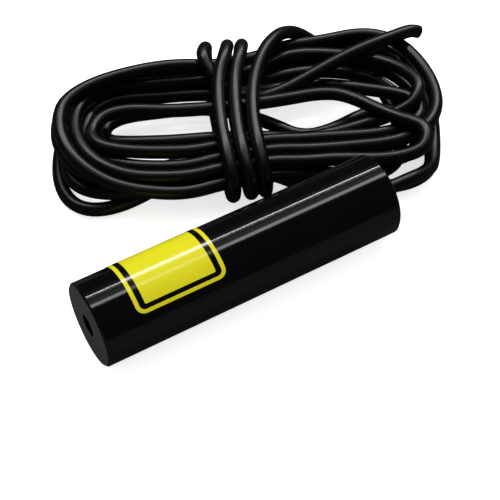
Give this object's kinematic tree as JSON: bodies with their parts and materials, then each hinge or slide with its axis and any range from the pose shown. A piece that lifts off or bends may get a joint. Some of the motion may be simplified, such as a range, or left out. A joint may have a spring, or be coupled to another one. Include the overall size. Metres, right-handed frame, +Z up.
{
  "type": "laser diode module",
  "caption": "Cylindrical laser diode module: turned barrel with front aperture, collimating optics, driver board and a free power cable wound in a hank.",
  "frame": {"origin": "on the floor below the middle of the barrel, which lies on its side", "axes": "+X along the barrel's axis from the aperture to the cable end, +Z up, +Y towards the hank of cable"},
  "size_m": [0.1042, 0.0785, 0.0191],
  "materials": {
    "black_anodised": "black anodised, satin, finely turned",
    "holder_aluminium": "bare machined aluminium",
    "brass": "bare turned brass",
    "retainer_black": "black anodised, matt",
    "optical_glass": "polished and coated",
    "spring_steel": "bright drawn wire",
    "gold_plate": "gold plated",
    "nickel_can": "nickel plated, drawn",
    "ceramic_white": "ground ceramic",
    "semiconductor": "polished die",
    "sleeve_acetal": "natural acetal",
    "board_green": "solder mask over glass laminate",
    "component_black": "moulded epoxy",
    "capacitor_can": "drawn can",
    "capacitor_ceramic": "fired ceramic",
    "rubber_black": "moulded rubber, matt",
    "cable_black": "flexible sheath, satin",
    "crimp_metal": "crimped",
    "core_red": "extruded",
    "core_black": "extruded",
    "label_yellow": "printed film, glossy"
  },
  "bodies": {
    "root": {"housing": "black_anodised", "rear_cap": "black_anodised", "diode_holder": "holder_aluminium", "lens_cell": "brass", "diode_clamp_ring": "brass", "lens_retainer": "retainer_black", "collimating_lens": "optical_glass", "diode_cap_window": "optical_glass", "focus_spring": "spring_steel", "diode_header": "gold_plate", "diode_pins": "gold_plate", "diode_cap": "nickel_can", "diode_submount": "ceramic_white", "laser_chip": "semiconductor", "monitor_photodiode": "semiconductor", "insulating_sleeve": "sleeve_acetal", "driver_board": "board_green", "driver_chip": "component_black", "power_transistor": "component_black", "protection_diode": "component_black", "sense_resistor": "component_black", "resistors": "component_black", "electrolytic_capacitor": "capacitor_can", "ceramic_capacitors": "capacitor_ceramic", "strain_relief_bush": "rubber_black", "cable_inner_end": "cable_black", "cable_lead": "cable_black", "cable_hank": "cable_black", "cable_crimp": "crimp_metal", "core_wire_red": "core_red", "core_wire_black": "core_black", "label": "label_yellow"}
  },
  "joints": []
}
